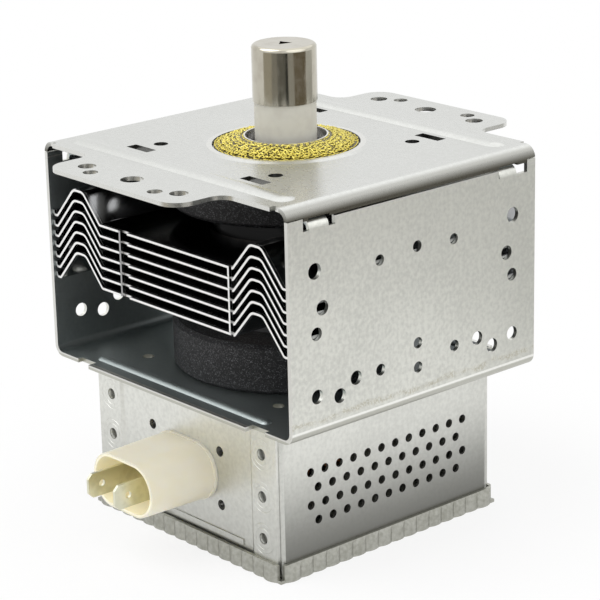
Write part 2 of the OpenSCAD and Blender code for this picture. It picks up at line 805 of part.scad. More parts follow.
module antenna_seal_can() color("lightsteelblue")
    translate([0, 0, z_tube1 - can_t]) seal_can(z_ceramic0 - z_tube1 + can_t, ceramic_r - ceramic_wall);

module stem_seal_can() color("lightsteelblue")
    translate([0, 0, z_tube0 + can_t]) mirror([0, 0, 1]) seal_can(z_tube0 + can_t - z_stem1, stem_r / 2);

module helix_coil(r, d, turns, z0, z1) {
    steps = turns * turn_steps;
    wire([for (i = [0 : steps])
        [r * cos(360 * i / turn_steps), r * sin(360 * i / turn_steps), z0 + (z1 - z0) * i / steps]],
        d, [0, 0, 1]);
}

coil_half = vane_h / 2;

module filament() color("darkgray") translate([0, 0, z_mid])
    helix_coil(filament_r, filament_d, filament_turns, filament_d / 2 + fit - coil_half,
        coil_half - filament_d / 2 - fit);

module upper_end_hat() color("gray") translate([0, 0, z_mid + coil_half])
    ring(lead_d / 2 + fit, hat_r, hat_t);

module lower_end_hat() color("gray") translate([0, 0, z_mid - coil_half - hat_t])
    ring(lead_d / 2 + clear, hat_r, hat_t);

// The centre lead runs up the axis and turns aside to its hole in the stem
module centre_lead() color("gray") rod([
    [-stem_pin_x, 0, z_stem0 - tab_t], [-stem_pin_x, 0, z_stem1 + stem_pin_x],
    [0, 0, z_stem1 + 3 * stem_pin_x], [0, 0, z_mid + coil_half + hat_t]], lead_d);

module side_lead() color("gray")
    rod([[stem_pin_x, 0, z_stem0 - tab_t], [stem_pin_x, 0, z_mid - coil_half - hat_t]], lead_d);

module stem_ceramic() color("ivory") translate([0, 0, z_stem0]) difference() {
    cylinder(r = stem_r, h = stem_h);
    for (x = [-1, 1]) translate([x * stem_pin_x, 0, -over])
        cylinder(d = lead_d + 2 * fit, h = stem_h + 2 * over);
}

// Antenna

module antenna_ceramic() color("ivory") translate([0, 0, z_ceramic0])
    ring(ceramic_r - ceramic_wall, ceramic_r, z_ceramic1 - z_ceramic0);

exhaust_h = cap_h - 4 * cap_wall - exhaust_r;
exhaust_bore = exhaust_h - (exhaust_r - cap_wall) / tan(pinch_angle) - 2 * cap_wall;

// Flanged copper tube that closes the ceramic, pinched flat at its upper end
module exhaust_tube() color("peru") translate([0, 0, z_ceramic1]) {
    flange_t = 2 * cap_wall;
    difference() {
        union() {
            cylinder(r = antenna_r - cap_wall - clear, h = flange_t);
            cylinder(r = exhaust_r, h = exhaust_h);
        }
        translate([0, 0, -over]) cylinder(r = exhaust_r - cap_wall, h = exhaust_bore + over);
        for (m = [0, 1]) mirror([m, 0, 0]) translate([cap_wall, 0, exhaust_h])
            rotate([0, -pinch_angle, 0]) translate([exhaust_r, 0, 0])
                cube([2 * exhaust_r, 2 * exhaust_r + over, 4 * exhaust_r], center = true);
    }
}

// Lead from a vane through the pole piece and the ceramic into the exhaust tube
module antenna_lead() color("peru") rod([
    [aerial_x, 0, z_mid + vane_h / 2], [aerial_x, 0, z_anode1 - pole_t],
    [0, 0, z_anode1 - pole_t + aerial_slope * aerial_x], [0, 0, z_ceramic1 + exhaust_bore]], 2 * aerial_r);

module antenna_cap() color("lightgray") translate([0, 0, z_ceramic1]) difference() {
    rotate_extrude() difference() {
        union() {
            square([antenna_r, cap_h - cap_edge_r]);
            square([antenna_r - cap_edge_r, cap_h]);
            translate([antenna_r - cap_edge_r, cap_h - cap_edge_r]) circle(cap_edge_r);
        }
        translate([-antenna_r, -over]) square([2 * antenna_r - cap_wall, cap_h - cap_edge_r + over]);
        translate([-antenna_r, 0]) square([2 * antenna_r - cap_edge_r, cap_h - cap_wall]);
        translate([-2 * antenna_r, -over]) square([2 * antenna_r, cap_h + 2 * over]);
    }
    translate([0, 0, cap_h - cap_edge_r]) rotate(vent_angle)
        cylinder(d = vent_d, h = 2 * cap_edge_r, $fn = 3);
}

// Filter box

seam_x = box_s - box_t - seam;
flange_x = box_s - flange_w;
panel_y = box_s - joggle;

// Plan of the front panel, stepped outward over the corner flanges
module front_panel_plan() {
    step = 2 * joggle;
    sheet_section([[-seam_x, -box_s + box_t / 2], [-flange_x, -box_s + box_t / 2],
        [step - flange_x, -panel_y + box_t / 2], [flange_x - step, -panel_y + box_t / 2],
        [flange_x, -box_s + box_t / 2], [seam_x, -box_s + box_t / 2]], box_t);
}

// Plan of the two side panels with their corner flanges
module side_panel_plan() {
    d = box_w - 2 * box_t;
    difference() {
        round_square(box_w, d, box_bend);
        round_square(box_w - 2 * box_t, d - 2 * box_t, box_bend - box_t);
        square([2 * flange_x, box_w], center = true);
    }
}

// Dimple and ripple that a clinch joint leaves, cut into the plane z = 0 from above
module clinch_cut() {
    r = clinch_d / 2;
    deep = 2 * box_t - joggle;
    ripple = joggle / 3;
    rotate_extrude() {
        polygon([[0, -deep], [clinch_floor * r, -deep], [r, -joggle / 2], [r + ripple, over], [0, over]]);
        for (share = clinch_ripples) translate([share * r, ripple / 2]) circle(ripple, $fn = 24);
    }
}

module clinches() {
    for (x = [-1, 1], i = [0 : clinch_count - 1])
        translate([x * (box_s - clinch_inset), -box_s, clinch_z + i * clinch_pitch])
            rotate([90, 0, 0]) clinch_cut();
}

module perforations() {
    for (row = [0 : perf_rows - 1]) {
        n = perf_count - (row + 1) % 2;
        for (i = [0 : n - 1])
            translate([0, (i - (n - 1) / 2) * perf_pitch, perf_z + row * perf_row])
                cross_bore(perf_d, box_w + 2 * over);
    }
}

// Holes of the earth plate, shared by the box's front
module plate_holes() {
    for (x = [-1, 1], z = [-1, 1])
        translate([x * plate_hole_x / 2, z * plate_hole_z / 2]) circle(d = plate_hole_d);
}

// Something cut or drawn in the plane of the plug, whose section faces the front
module at_plug(y) {
    translate([0, y, plug_z]) rotate([90, 0, 0]) children();
}

module filter_box() color("gainsboro") difference() {
    intersection() {
        union() {
            translate([0, 0, cover_t]) linear_extrude(box_h - cover_t) {
                front_and_back() front_panel_plan();
                side_panel_plan();
            }
            translate([0, 0, box_h - box_t / 2])
                cube([box_w - 2 * box_t, box_w - 2 * box_t, box_t], center = true);
            translate([strip_x - strip_l / 2, -panel_y - strip_rise, strip_z - strip_w / 2])
                cube([strip_l, box_t, strip_w]);
        }
        along_y(2 * box_w) round_square(box_w, 2 * box_h, box_bend);
        along_x(2 * box_w) round_square(box_w, 2 * box_h, box_bend);
    }
    cylinder(r = stem_hole_r, h = 3 * box_h, center = true);
    front_and_back() clinches();
    perforations();
    at_plug(-box_s) linear_extrude(4 * flange_w, center = true) {
        stadium(plug_span, plug_root_r + fit);
        plate_holes();
    }
}

// Outline of the crimped lip: neighbouring lobes meet in creases just proud of its flat
module lip_outline(outer, lobes) {
    lobe_r = cap_radius(lobe_pitch, lobe_bulge - fit);
    square(2 * outer, center = true);
    for (a = [0 : 90 : 270], i = [0 : lobes - 1])
        rotate(a) translate([outer + lobe_bulge - lobe_r, (i - (lobes - 1) / 2) * lobe_pitch])
            circle(lobe_r);
}

// Square frustum between two half widths
module square_frustum(w0, w1, h) {
    rotate(45) cylinder(r1 = sqrt(2) * w0, r2 = sqrt(2) * w1, h = h, $fn = 4);
}

module filter_box_cover() color("silver") {
    inner = box_s + fit;
    outer = inner + cover_t;
    corner = outer - box_s + box_bend / 4;
    lobes = floor(2 * (outer - corner) / lobe_pitch);
    crest = outer + lobe_bulge + fit;
    fade = (lobe_bulge - fit) / (lip_h - lobe_h);
    difference() {
        intersection() {
            linear_extrude(lip_h) lip_outline(outer, lobes);
            square_frustum(crest + fade * lobe_h, outer + 2 * fit, lip_h);
        }
        translate([-inner, -inner, cover_t]) cube([2 * inner, 2 * inner, lip_h]);
        for (x = [-1, 1], y = [-1, 1])
            translate([x * outer - corner, y * outer - corner, cover_t + fit])
                cube([2 * corner, 2 * corner, lip_h]);
    }
}

// Plug and filter

plate_y = -panel_y + box_t;
flange_y = plate_y + plate_t;
plug_flange_t = 1.5;
block_r = plug_root_r - plug_wall - 2 * fit;
mouth_y = -panel_y - plug_reach;
tab_tip_y = mouth_y - tab_reach;
tab_rear_y = flange_y + block_l + tab_tail;
tab_x = tab_span / 2;

// Slot shape that tapers from the root to the mouth, along -Y from y = 0
module tapered_stadium(span, r0, r1, l) {
    for (x = [-1, 1]) translate([x * span / 2, 0, 0])
        rotate([90, 0, 0]) cylinder(r1 = r0, r2 = r1, h = l);
    along_x(span) polygon([[0, -r0], [-l, -r1], [-l, r1], [0, r0]]);
}

module capacitor_housing() color("wheat") difference() {
    union() {
        translate([0, -panel_y, plug_z]) tapered_stadium(plug_span, plug_root_r, plug_mouth_r, plug_reach);
        at_plug(flange_y) linear_extrude(flange_y + panel_y) stadium(plug_span, plug_root_r);
        at_plug(-panel_y) linear_extrude(collar_t) stadium(plug_span, plug_root_r + collar_step);
        at_plug(flange_y + plug_flange_t) linear_extrude(plug_flange_t)
            stadium(plug_span, plug_root_r + 2 * plug_wall);
    }
    translate([0, -panel_y, plug_z])
        tapered_stadium(plug_span, plug_root_r - plug_wall, plug_mouth_r - plug_wall, plug_reach + fit);
    at_plug(flange_y + plug_flange_t + over) linear_extrude(box_w - flange_w)
        stadium(plug_span, block_r - fit);
    at_plug(flange_y + plug_flange_t + over) linear_extrude(flange_y + plug_flange_t + over + panel_y)
        stadium(plug_span, plug_root_r - plug_wall);
}

module capacitor_plate() color("silver") at_plug(plate_y + plate_t) linear_extrude(plate_t) difference() {
    round_square(plate_hole_x + 3 * plate_hole_d, plate_hole_z + 3 * plate_hole_d, plate_hole_d);
    stadium(plug_span, plug_root_r + fit);
    plate_holes();
}

module capacitor_block() color("chocolate") at_plug(flange_y + block_l)
    linear_extrude(flange_y + block_l + panel_y) difference() {
        stadium(plug_span, block_r);
        for (x = [-1, 1])
            translate([x * tab_x, 0]) square([tab_t + 2 * fit, tab_w + 2 * fit], center = true);
    }

// Flat tab with a pointed tip, a locking hole and an inner end for the choke's lead
module terminal_tab() {
    tip = tab_w / 5;
    l = tab_rear_y - tab_tip_y;
    along_x(tab_t) translate([tab_tip_y, plug_z]) difference() {
        polygon([[0, tip - tab_w / 2], [tip, -tab_w / 2], [l, -tab_w / 2], [l, tab_w / 2], [tip, tab_w / 2],
            [0, tab_w / 2 - tip]]);
        translate([tab_hole_inset, 0]) circle(d = tab_hole_d);
    }
}

module terminal_tab_1() color("darkkhaki") translate([-tab_x, 0, 0]) terminal_tab();

module terminal_tab_2() color("darkkhaki") translate([tab_x, 0, 0]) terminal_tab();

choke_y0 = tab_rear_y - wire_d;
choke_z = plug_z - choke_r;
// A quarter turn short ends the winding on its inner side, where the wire runs upward
choke_angle = 360 * choke_turns - 90;
pad_z = z_stem0 - tab_t;

module choke_coil() color("chocolate") {
    steps = choke_angle * turn_steps / 360;
    winding = [for (i = [0 : steps])
        let (a = 90 - 360 * i / turn_steps)
        [choke_x + choke_r * cos(a), choke_y0 * (1 - i / steps), choke_z + choke_r * sin(a)]];
    wire(concat([[tab_x + tab_t / 2 + fit, choke_y0, plug_z]], winding,
        [[choke_x - choke_r, 0, pad_z + tab_t]]), wire_d, [0, 1, 0]);
}

module choke_coil_1() mirror([1, 0, 0]) choke_coil();

module choke_coil_2() choke_coil();

module ferrite_core() color("dimgray") translate([choke_x, choke_y0 / 2, choke_z]) rotate([90, 0, 0])
    cylinder(r = choke_r - wire_d / 2 - clear, h = wire_d - choke_y0, center = true);

module ferrite_core_1() mirror([1, 0, 0]) ferrite_core();

module ferrite_core_2() ferrite_core();

// Strap under the stem that joins a cathode lead to a choke's end
module stem_terminal() color("silver") {
    inner = stem_pin_x - lead_d;
    outer = choke_x - choke_r - wire_d / 2 - fit;
    translate([0, 0, pad_z]) difference() {
        translate([inner, -lead_d, 0]) cube([outer - inner, 2 * lead_d, tab_t]);
        translate([stem_pin_x, 0, -over]) cylinder(d = lead_d + 2 * fit, h = tab_t + 2 * over);
    }
}

module stem_terminal_1() mirror([1, 0, 0]) stem_terminal();

module stem_terminal_2() stem_terminal();

yoke_bracket();
yoke_top_plate();
gasket_seat();
mesh_gasket();
upper_magnet();
lower_magnet();
cooling_fin(1);  // fin_1
cooling_fin(2);  // fin_2
cooling_fin(3);  // fin_3
cooling_fin(4);  // fin_4
cooling_fin(5);  // fin_5
cooling_fin(6);  // fin_6
cooling_fin(7);  // fin_7
anode_cylinder();
anode_vanes();
strap_rings();
upper_pole_piece();
lower_pole_piece();
antenna_seal_can();
antenna_ceramic();
antenna_lead();
exhaust_tube();
antenna_cap();
stem_seal_can();
stem_ceramic();
filament();
upper_end_hat();
lower_end_hat();
centre_lead();
side_lead();
stem_terminal_1();
stem_terminal_2();
choke_coil_1();
choke_coil_2();
ferrite_core_1();
ferrite_core_2();
capacitor_housing();
capacitor_plate();
capacitor_block();
terminal_tab_1();
terminal_tab_2();
filter_box();
filter_box_cover();
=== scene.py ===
"""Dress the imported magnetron: sheet metal, fins, magnets, ceramics, plug and knitted gasket, in a white studio."""

import logging
import math
from dataclasses import dataclass, field
from enum import Enum
from typing import Any, ClassVar, Iterable, Mapping, Optional, Union

import bpy
from mathutils import Matrix, Vector


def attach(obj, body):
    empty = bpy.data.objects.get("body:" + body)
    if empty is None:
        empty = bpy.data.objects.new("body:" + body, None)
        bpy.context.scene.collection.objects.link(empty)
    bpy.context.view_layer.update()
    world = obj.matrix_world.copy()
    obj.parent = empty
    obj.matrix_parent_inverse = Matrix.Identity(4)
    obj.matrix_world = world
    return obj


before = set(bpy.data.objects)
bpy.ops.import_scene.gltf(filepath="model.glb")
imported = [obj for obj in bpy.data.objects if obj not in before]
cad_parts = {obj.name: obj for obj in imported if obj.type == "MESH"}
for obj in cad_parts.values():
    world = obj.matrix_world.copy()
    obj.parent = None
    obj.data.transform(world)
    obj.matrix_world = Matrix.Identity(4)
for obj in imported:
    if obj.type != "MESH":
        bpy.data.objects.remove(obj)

LOG = logging.getLogger("magnetron")
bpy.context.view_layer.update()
MM = 0.001

Colour = tuple[float, float, float]
Number = Union[int, float, "Field"]


class Field:
    """An output socket in an expression, where each operator adds one Math node to the tree."""

    def __init__(self, graph: "Graph", socket: bpy.types.NodeSocket) -> None:
        """Wrap one output socket of a graph."""
        self.graph = graph
        self.socket = socket

    def __add__(self, other: Number) -> "Field":
        """Return self + other."""
        return self.graph.math("ADD", self, other)

    def __radd__(self, other: Number) -> "Field":
        """Return other + self."""
        return self.graph.math("ADD", other, self)

    def __sub__(self, other: Number) -> "Field":
        """Return self - other."""
        return self.graph.math("SUBTRACT", self, other)

    def __rsub__(self, other: Number) -> "Field":
        """Return other - self."""
        return self.graph.math("SUBTRACT", other, self)

    def __mul__(self, other: Number) -> "Field":
        """Return self * other."""
        return self.graph.math("MULTIPLY", self, other)

    def __rmul__(self, other: Number) -> "Field":
        """Return other * self."""
        return self.graph.math("MULTIPLY", other, self)

    def __truediv__(self, other: Number) -> "Field":
        """Return self / other."""
        return self.graph.math("DIVIDE", self, other)

    def __rtruediv__(self, other: Number) -> "Field":
        """Return other / self."""
        return self.graph.math("DIVIDE", other, self)

    def __pow__(self, other: Number) -> "Field":
        """Return self to the power of other."""
        return self.graph.math("POWER", self, other)

    def __gt__(self, other: Number) -> "Field":
        """Return 1 where self is above other."""
        return self.graph.math("GREATER_THAN", self, other)

    def __lt__(self, other: Number) -> "Field":
        """Return 1 where self is below other."""
        return self.graph.math("LESS_THAN", self, other)

    def __or__(self, other: Number) -> "Field":
        """Return the larger of two masks."""
        return self.graph.math("MAXIMUM", self, other)

    def __and__(self, other: Number) -> "Field":
        """Return the smaller of two masks."""
        return self.graph.math("MINIMUM", self, other)

    def __abs__(self) -> "Field":
        """Return the value without its sign."""
        return self.graph.math("ABSOLUTE", self)

    def sin(self) -> "Field":
        """Return the sine of an angle in radians."""
        return self.graph.math("SINE", self)

    def cos(self) -> "Field":
        """Return the cosine of an angle in radians."""
        return self.graph.math("COSINE", self)

    def smooth(self, low: float, high: float) -> "Field":
        """Ease from 0 to 1 between two values.

        Args:
            low: value that gives 0.
            high: value that gives 1.

        Returns:
            The eased mask.
        """
        made = self.graph.node("ShaderNodeMapRange", {"interpolation_type": "SMOOTHSTEP"},
                               {"Value": self, "From Min": low, "From Max": high})
        return Field(self.graph, made.outputs["Result"])


class Graph:
    """A node tree under construction."""

    def __init__(self, tree: bpy.types.NodeTree) -> None:
        """Take the tree that nodes are added to."""
        self.tree = tree

    @staticmethod
    def socket(sockets: Iterable[bpy.types.NodeSocket], key: Union[str, int]) -> bpy.types.NodeSocket:
        """Find a socket by its index, identifier or name.

        Args:
            sockets: a node's inputs or outputs.
            key: what to look for.

        Returns:
            The socket.
        """
        listed = list(sockets)
        if isinstance(key, int):
            return listed[key]
        for attribute in ("identifier", "name"):
            for candidate in listed:
                if getattr(candidate, attribute) == key:
                    return candidate
        raise KeyError(key)

    def feed(self, target: bpy.types.NodeSocket, value: Any) -> None:
        """Link a socket or a field to an input, or set the input's own value."""
        source = value.socket if isinstance(value, Field) else value
        if isinstance(source, bpy.types.NodeSocket):
            self.tree.links.new(source, target)
        elif target.type == "RGBA" and len(source) == 3:
            target.default_value = (*source, 1.0)
        else:
            target.default_value = source

    def node(self, kind: str, settings: Optional[Mapping[str, Any]] = None,
             inputs: Optional[Mapping[Union[str, int], Any]] = None) -> bpy.types.Node:
        """Add a node.

        Args:
            kind: the node's type.
            settings: its properties, set first.
            inputs: values or links of its sockets, by name, identifier or index.

        Returns:
            The node.
        """
        made = self.tree.nodes.new(kind)
        for name, value in (settings or {}).items():
            setattr(made, name, value)
        for key, value in (inputs or {}).items():
            self.feed(self.socket(made.inputs, key), value)
        return made

    def math(self, operation: str, *values: Number) -> Field:
        """Add a Math node on values or fields."""
        made = self.node("ShaderNodeMath", {"operation": operation}, dict(enumerate(values)))
        return Field(self, made.outputs[0])

    def point(self, x: Number, y: Number, z: Number) -> bpy.types.NodeSocket:
        """Join three numbers to a vector."""
        return self.node("ShaderNodeCombineXYZ", inputs={"X": x, "Y": y, "Z": z}).outputs[0]


class Surface(Graph):
    """A material under construction, with the textures that the finishes share."""

    def __init__(self, name: str) -> None:
        """Start an empty material that reads Object coordinates."""
        self.material = bpy.data.materials.new(name)
        self.material.use_nodes = True
        self.material.node_tree.nodes.clear()
        super().__init__(self.material.node_tree)
        self.place = self.node("ShaderNodeTexCoord").outputs["Object"]
        axes = self.node("ShaderNodeSeparateXYZ", inputs={"Vector": self.place})
        self.x, self.y, self.z = (Field(self, socket) for socket in axes.outputs)
        self.radius = (self.x * self.x + self.y * self.y) ** 0.5

    def stretched(self, stretch: Colour) -> bpy.types.NodeSocket:
        """Return the coordinates scaled along each axis."""
        return self.node("ShaderNodeMapping", inputs={"Vector": self.place, "Scale": stretch}).outputs[0]

    def noise(self, size: float, detail: float = 2.0, stretch: Optional[Colour] = None) -> Field:
        """Add a cloudy pattern.

        Args:
            size: width of its patches in metres.
            detail: octaves of finer patches.
            stretch: scale of the coordinates along each axis, if uneven.

        Returns:
            The pattern, about 0.5.
        """
        vector = self.stretched(stretch) if stretch else self.place
        made = self.node("ShaderNodeTexNoise", inputs={"Vector": vector, "Scale": 1 / size, "Detail": detail})
        return Field(self, made.outputs["Fac"])

    def cells(self, size: float) -> bpy.types.Node:
        """Add a pattern of crystals or grains of a size in metres."""
        return self.node("ShaderNodeTexVoronoi", {"feature": "F1"}, {"Vector": self.place, "Scale": 1 / size})

    def tint(self, amount: Number, first: Any, second: Any) -> bpy.types.NodeSocket:
        """Mix two colours by a mask."""
        made = self.node("ShaderNodeMix", {"data_type": "RGBA"},
                         {"Factor_Float": amount, "A_Color": first, "B_Color": second})
        return self.socket(made.outputs, "Result_Color")

    def relief(self, height: Field, depth: float, under: Any = None) -> bpy.types.NodeSocket:
        """Raise the surface by a pattern of a depth in metres, over an earlier relief if there is one."""
        inputs = {"Height": height, "Distance": depth, "Strength": 1.0}
        if under is not None:
            inputs["Normal"] = under
        return self.node("ShaderNodeBump", inputs=inputs).outputs[0]

    def finish(self, colour: Any, roughness: Number, metallic: Number = 0.0, normal: Any = None,
               **constants: Any) -> bpy.types.Material:
        """Join everything in one Principled shader.

        Args:
            colour: base colour, plain or varying.
            roughness: plain or varying.
            metallic: plain or varying.
            normal: relief, if any.
            constants: other sockets by name with underscores, each one plain value.

        Returns:
            The finished material.
        """
        inputs: dict[str, Any] = {"Base Color": colour, "Roughness": roughness, "Metallic": metallic}
        if normal is not None:
            inputs["Normal"] = normal
        inputs.update({name.replace("_", " "): value for name, value in constants.items()})
        shader = self.node("ShaderNodeBsdfPrincipled", inputs=inputs)
        self.node("ShaderNodeOutputMaterial", inputs={"Surface": shader.outputs[0]})
        return self.material


class Rolling(Enum):
    """Stretch of the streaks that the mill leaves, by the direction of rolling."""

    UP = (1.0, 1.0, 0.06)
    ACROSS = (0.06, 1.0, 1.0)
    DEPTH = (1.0, 0.06, 1.0)


class Axis(Enum):
    """A direction of the row frame, or the distance from its upright axis."""

    X = "x"
    Y = "y"
    Z = "z"
    RADIUS = "radius"


@dataclass(frozen=True)
class Edge:
    """A cut edge: what lies between two distances along an axis, above a height and within a half width."""

    axis: Axis
    low: float
    high: float = 1.0
    floor: float = 0.0
    within: float = 1.0

    def mask(self, surface: Surface) -> Field:
        """Return 1 on the edge and 0 elsewhere."""
        reach = abs(getattr(surface, self.axis.value))
        near = (surface.z > self.floor) & (abs(surface.x) < self.within)
        return (reach > self.low) & (reach < self.high) & near


@dataclass(frozen=True)
class Inside:
    """Painted shade on the faces within a folded sheet: nearer than its walls and between two heights."""

    wall: float
    face: float
    low: float
    high: float
    tone: Colour
    amount: float
    ramp: Optional[tuple[float, float]] = None

    def mask(self, surface: Surface) -> Field:
        """Return the share of the tone, which may grow from front to back, on the inner faces and 0 elsewhere."""
        level = (surface.z > self.low) & (surface.z < self.high)
        within = (abs(surface.x) < self.wall) & (abs(surface.y) < self.face) & level
        return within * (self.amount * surface.y.smooth(*self.ramp) if self.ramp else self.amount)


@dataclass(frozen=True)
class PaintedShade:
    """Painted shade that deepens from one height down to another, less so within the side walls."""

    top: float
    bottom: float
    tone: Colour
    wall: float = 0.0
    within: float = 1.0

    def mask(self, surface: Surface) -> Field:
        """Return the strength of the painted shade, 0 to 1."""
        share = self.within + (1 - self.within) * (abs(surface.x) > self.wall)
        return share * (1 - surface.z.smooth(self.bottom, self.top))


@dataclass(frozen=True)
class Pits:
    """Painted shade on the floors of the clinch joints, between two distances from the middle and below the sheet's
    skin.
    """

    near: float
    far: float
    skin: float
    depth: float

    def mask(self, surface: Surface) -> Field:
        """Return the strength of the painted shade, 0 to 1."""
        across = abs(surface.x)
        sunk = (self.skin - abs(surface.y)).smooth(0.3 * self.depth, self.depth)
        return sunk * (across > self.near) * (across < self.far) * (abs(surface.y) > self.skin - 2 * self.depth)


@dataclass(frozen=True)
class Scuff:
    """What the bending die leaves low on a wall: a faint wavy line; and a painted highlight along the bend."""

    height: float
    bend: float
    wall: float
    wave: float = 3.4 * MM
    width: float = 1.1 * MM

    def mask(self, surface: Surface) -> Field:
        """Return the line's strength."""
        line = surface.z - self.height - self.wave * (surface.noise(7 * MM, 4.0) - 0.5)
        on_wall = abs(surface.x) > self.wall
        patchy = surface.noise(5 * MM).smooth(0.34, 0.56) * surface.noise(0.5 * MM, 3.0).smooth(0.38, 0.60)
        return (1 - abs(line).smooth(0.2 * self.width, self.width)) * on_wall * patchy

    def bend_highlight(self, surface: Surface) -> Field:
        """Return the strength of the painted highlight along the bend."""
        line = abs(surface.z - self.bend)
        return (1 - line.smooth(0.1 * self.width, 0.4 * self.width)) * (abs(surface.x) > self.wall)


@dataclass(frozen=True)
class SheetMetal:
    """Coated sheet: mottled satin metal with rolling streaks and fine grain, painted highlights on cut edges and
    painted shade in slots and folds.
    """

    name: str
    tone: Colour
    shade: Colour
    roughness: float
    rolling: Rolling
    spread: float = 0.14
    grain: float = 0.02 * MM
    edge_highlight: Colour = (0.70, 0.70, 0.67)
    edges: tuple[Edge, ...] = ()
    scuff: Optional[Scuff] = None
    insides: tuple[Inside, ...] = ()
    fades: tuple[PaintedShade, ...] = ()
    slot_shade: tuple[Edge, ...] = ()
    pits: Optional[Pits] = None
    SPECK: ClassVar[Colour] = (0.16, 0.16, 0.15)
    PIT_SHADE: ClassVar[Colour] = (0.10, 0.10, 0.09)
    RUBBED: ClassVar[Colour] = (0.44, 0.40, 0.28)
    PAINTED_HIGHLIGHT: ClassVar[Colour] = (0.92, 0.92, 0.88)
    SLOT_SHADE: ClassVar[Colour] = (0.10, 0.10, 0.095)

    def material(self) -> bpy.types.Material:
        """Build the sheet's material."""
        s = Surface(self.name)
        mottle = s.noise(1.1 * MM, 3.0)
        cloud = s.noise(22 * MM, 2.0)
        streak = s.noise(0.35 * MM, 3.0, self.rolling.value)
        grit = s.noise(0.22 * MM, 2.0)
        wear = (0.62 * mottle + 0.24 * cloud + 0.14 * streak).smooth(0.34, 0.66)
        colour = s.tint(wear, self.shade, self.tone)
        speck = (1 - Field(s, s.cells(1.9 * MM).outputs["Distance"]).smooth(0.03, 0.09)) * grit.smooth(0.5, 0.6)
        colour = s.tint(0.4 * speck, colour, self.SPECK)
        roughness = self.roughness + self.spread * (1.3 * grit + 0.7 * streak - 1) + 0.08 * (0.5 - wear)
        # Painted shade in bands that darken downwards.
        for fade in self.fades:
            colour = s.tint(fade.mask(s), colour, fade.tone)
        # Painted shade on the floors of the clinch pits.
        if self.pits:
            colour = s.tint(0.7 * self.pits.mask(s), colour, self.PIT_SHADE)
        if self.scuff:
            line = self.scuff.mask(s)
            colour = s.tint(0.5 * line, colour, self.RUBBED)
            # Painted highlight along the bend.
            colour = s.tint(self.scuff.bend_highlight(s), colour, self.PAINTED_HIGHLIGHT)
            roughness = roughness + 0.2 * line
        # Painted shade on the inner faces of the folds.
        for inside in self.insides:
            within = inside.mask(s)
            colour = s.tint(within, colour, inside.tone)
            roughness = roughness + 0.085 * within
        # Painted highlight on the cut edges.
        for edge in self.edges:
            colour = s.tint(edge.mask(s) * (0.75 + 0.25 * mottle), colour, self.edge_highlight)
        # Painted shade on the walls of the slots.
        if self.slot_shade:
            first, second = (edge.mask(s) for edge in self.slot_shade)
            colour = s.tint(0.85 * (first & second), colour, self.SLOT_SHADE)
        normal = s.relief(0.7 * grit + 0.12 * mottle + 0.18 * streak, self.grain)
        return s.finish(colour, roughness, 1.0, normal)


@dataclass(frozen=True)
class RolledFin:
    """Bright rolled aluminium with faint draw lines, painted highlights on its cut edges and a painted tone on its
    flats.
    """

    name: str
    edge: Edge
    notch: Edge
    tone: Colour = (0.30, 0.305, 0.31)
    roughness: float = 0.09
    painted_flat: Colour = (0.80, 0.80, 0.80)
    flat: float = 24 * MM
    flank: float = 29 * MM
    tab: Edge = Edge(Axis.X, 17.5 * MM, 18.5 * MM)
    PAINTED_HIGHLIGHT: ClassVar[Colour] = (0.90, 0.90, 0.89)
    DIMMED_HIGHLIGHT: ClassVar[Colour] = (0.42, 0.42, 0.42)

    def material(self) -> bpy.types.Material:
        """Build the fins' material."""
        s = Surface(self.name)
        line = s.noise(0.35 * MM, 3.0, Rolling.ACROSS.value)
        haze = s.noise(5 * MM, 3.0)
        mask = self.edge.mask(s) | self.notch.mask(s)
        colour = s.tint(haze.smooth(0.35, 0.7), self.tone, tuple(0.86 * c for c in self.tone))
        # Painted tone on the flats: painted light on the lower fins, painted shade on the top fin.
        colour = s.tint(abs(s.x).smooth(self.flat, self.flank), self.painted_flat, colour)
        # Painted highlight on the cut edges and notches, kept dimmer on the spacer tabs.
        colour = s.tint(mask, colour, self.PAINTED_HIGHLIGHT)
        colour = s.tint(mask & self.tab.mask(s) & (s.x * s.y > 0.0), colour, self.DIMMED_HIGHLIGHT)
        roughness = self.roughness + 0.05 * line + 0.06 * haze.smooth(0.5, 0.75) + 0.3 * mask
        return s.finish(colour, roughness, 1.0, s.relief(line, 0.004 * MM))


@dataclass(frozen=True)
class Sintered:
    """Pressed and fired grains: ferrite, or the heater's tungsten."""

    name: str
    tone: Colour
    glint: Colour
    roughness: float
    size: float = 0.32 * MM
    metallic: float = 0.0

    def material(self) -> bpy.types.Material:
        """Build the grains' material."""
        s = Surface(self.name)
        grain = s.cells(self.size)
        bright = Field(s, s.node("ShaderNodeSeparateColor", inputs={0: grain.outputs["Color"]}).outputs[0])
        crumb = s.noise(0.6 * self.size, 2.0)
        worn = s.noise(14 * self.size, 3.0)
        sparkle = bright.smooth(0.55, 1.0) * crumb.smooth(0.42, 0.62)
        colour = s.tint(sparkle, self.tone, self.glint)
        roughness = self.roughness - 0.16 * sparkle + 0.08 * worn
        height = 0.6 * Field(s, grain.outputs["Distance"]) + 0.4 * crumb
        return s.finish(colour, roughness, self.metallic, s.relief(height, 0.3 * self.size))


@dataclass(frozen=True)
class FiredCeramic:
    """Unglazed alumina: warm white, faintly clouded, with a few dark specks."""

    name: str
    tone: Colour = (0.66, 0.645, 0.58)
    shade: Colour = (0.61, 0.59, 0.53)
    SPECK: ClassVar[Colour] = (0.35, 0.30, 0.26)

    def material(self) -> bpy.types.Material:
        """Build the ceramic's material."""
        s = Surface(self.name)
        cloud = s.noise(4 * MM, 3.0)
        grit = s.noise(0.15 * MM, 2.0)
        speck = 1 - Field(s, s.cells(3.2 * MM).outputs["Distance"]).smooth(0.03, 0.07)
        colour = s.tint(cloud.smooth(0.35, 0.7), self.tone, self.shade)
        colour = s.tint(0.3 * speck, colour, self.SPECK)
        return s.finish(colour, 0.42 + 0.16 * grit, 0.0, s.relief(grit, 0.006 * MM), Specular_IOR_Level=0.4)


